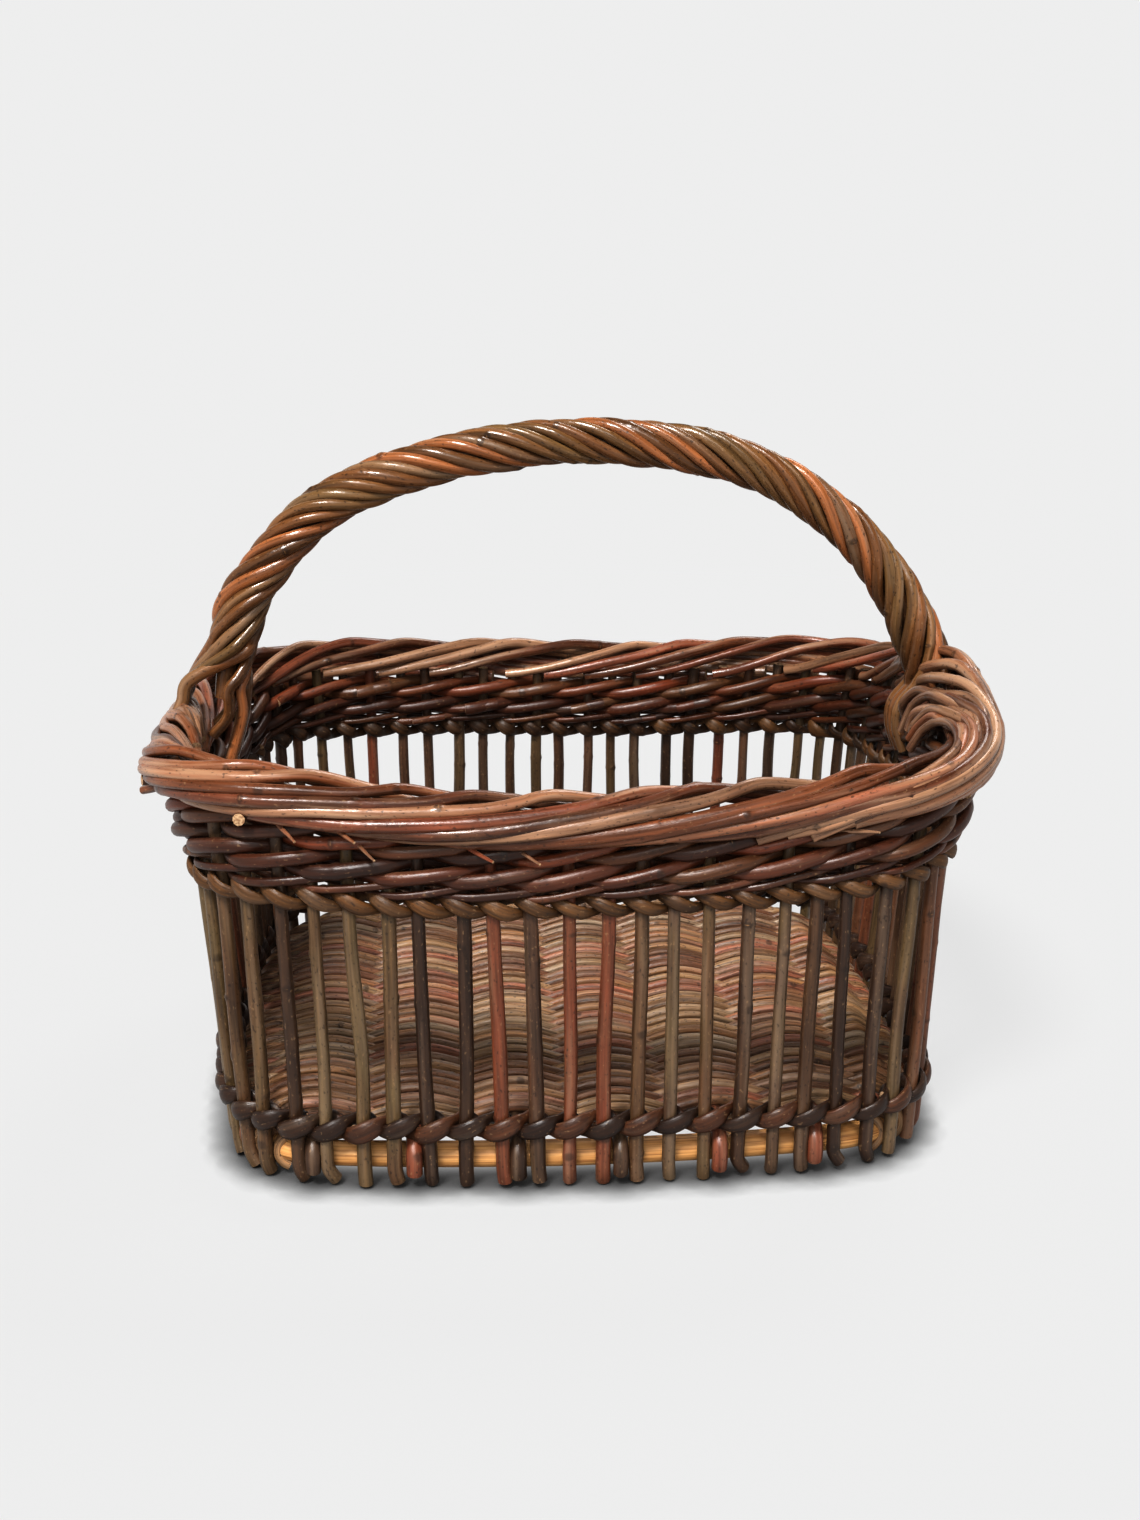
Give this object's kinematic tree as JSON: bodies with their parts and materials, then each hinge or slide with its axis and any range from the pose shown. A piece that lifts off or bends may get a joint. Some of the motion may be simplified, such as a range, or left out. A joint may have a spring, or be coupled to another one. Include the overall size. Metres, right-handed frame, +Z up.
{
  "type": "woven market basket",
  "caption": "Open rectangular basket of round willow rods on a hoop base, with upright stakes, twined bands, a thick rolled border and a fixed roped arch handle.",
  "frame": {"origin": "on the resting surface, under the middle of the basket", "axes": "+X along the basket's length and the handle's span, +Y to the back, +Z up"},
  "size_m": [0.4502, 0.3875, 0.3645],
  "materials": {
    "peeled_wood": "bare peeled rod, satin",
    "base_bark": "mixed tan and brown rods, dry",
    "stake_bark": "dark bark, satin",
    "fitch_bark": "fibrous olive-brown bark",
    "wale_bark": "reddish-brown bark, satin",
    "border_bark": "reddish-brown bark, satin",
    "handle_bark": "warm brown bark, polished by hands"
  },
  "bodies": {
    "root": {"base_hoop": "peeled_wood", "handle_bow": "handle_bark", "handle_rope": "handle_bark", "base_stick_1": "base_bark", "base_stick_2": "base_bark", "base_stick_3": "base_bark", "base_stick_4": "base_bark", "base_stick_5": "base_bark", "base_stick_6": "base_bark", "base_weave_1": "base_bark", "base_weave_2": "base_bark", "base_weave_3": "base_bark", "base_weave_4": "base_bark", "base_weave_5": "base_bark", "base_weave_6": "base_bark", "base_weave_7": "base_bark", "stakes_front": "stake_bark", "stakes_front_right": "stake_bark", "stakes_right": "stake_bark", "stakes_back_right": "stake_bark", "stakes_back": "stake_bark", "stakes_back_left": "stake_bark", "stakes_left": "stake_bark", "stakes_front_left": "stake_bark", "lower_fitch_outer": "fitch_bark", "lower_fitch_inner": "fitch_bark", "upper_fitch_outer": "fitch_bark", "upper_fitch_inner": "fitch_bark", "wale_low_outer": "wale_bark", "wale_low_inner": "wale_bark", "wale_mid_outer": "wale_bark", "wale_mid_inner": "wale_bark", "wale_top_outer": "wale_bark", "wale_top_inner": "wale_bark", "border_outer": "border_bark", "border_top": "border_bark", "border_inner": "border_bark"}
  },
  "joints": []
}
